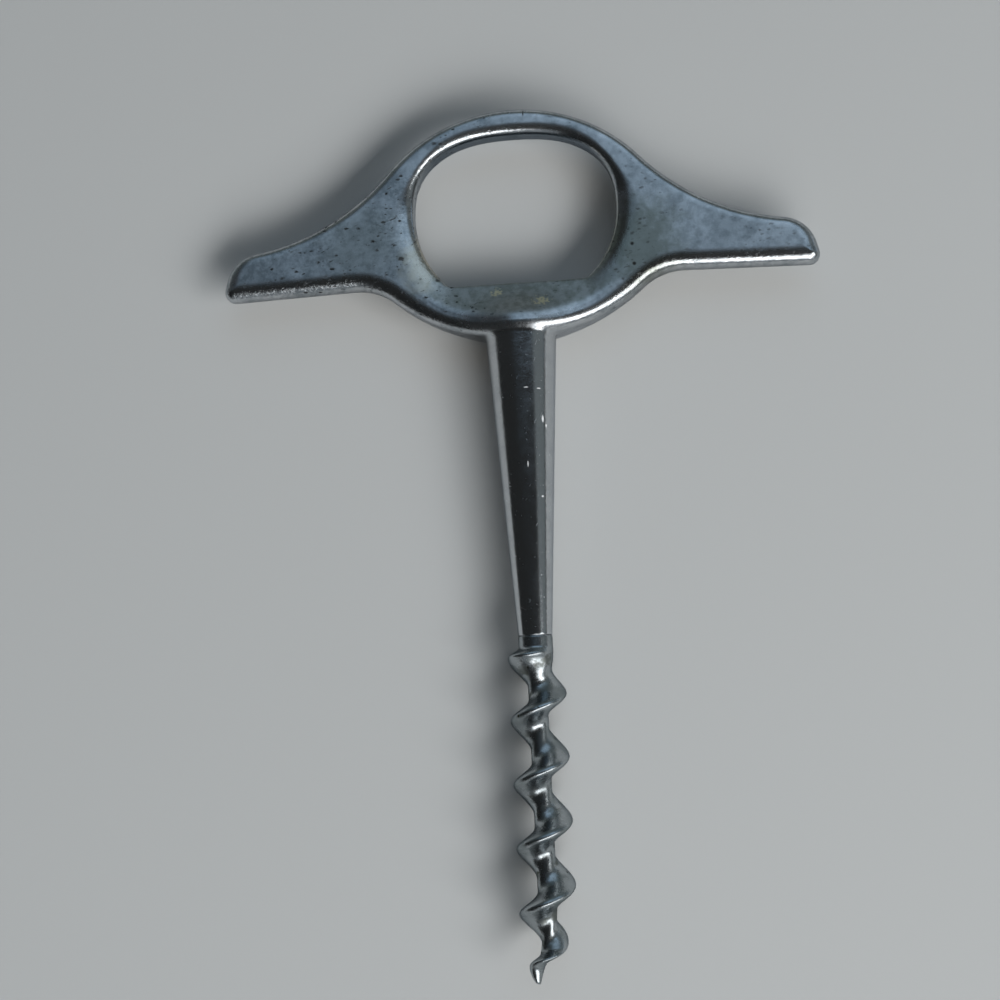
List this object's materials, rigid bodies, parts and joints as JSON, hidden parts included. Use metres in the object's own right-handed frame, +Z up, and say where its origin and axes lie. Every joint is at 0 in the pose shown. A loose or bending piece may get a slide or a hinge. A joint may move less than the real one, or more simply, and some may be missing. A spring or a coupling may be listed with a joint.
{
  "type": "direct-pull corkscrew",
  "caption": "Chromed direct-pull corkscrew: stirrup ring with cap-lifter lip, two finger wings and a tapered shank that holds a steel worm with an off-axis point.",
  "frame": {"origin": "on the surface the corkscrew lies on, under the middle of its length and width", "axes": "+X across the wings, +Y along the pull from the worm's point to the ring, +Z up"},
  "size_m": [0.107, 0.1538, 0.0134],
  "materials": {
    "handle_chrome": "worn chrome plate with fine scratches and small pits",
    "worm_steel": "bright plated steel, dulled in the roots"
  },
  "bodies": {
    "root": {"handle": "handle_chrome", "worm": "worm_steel"}
  },
  "joints": []
}
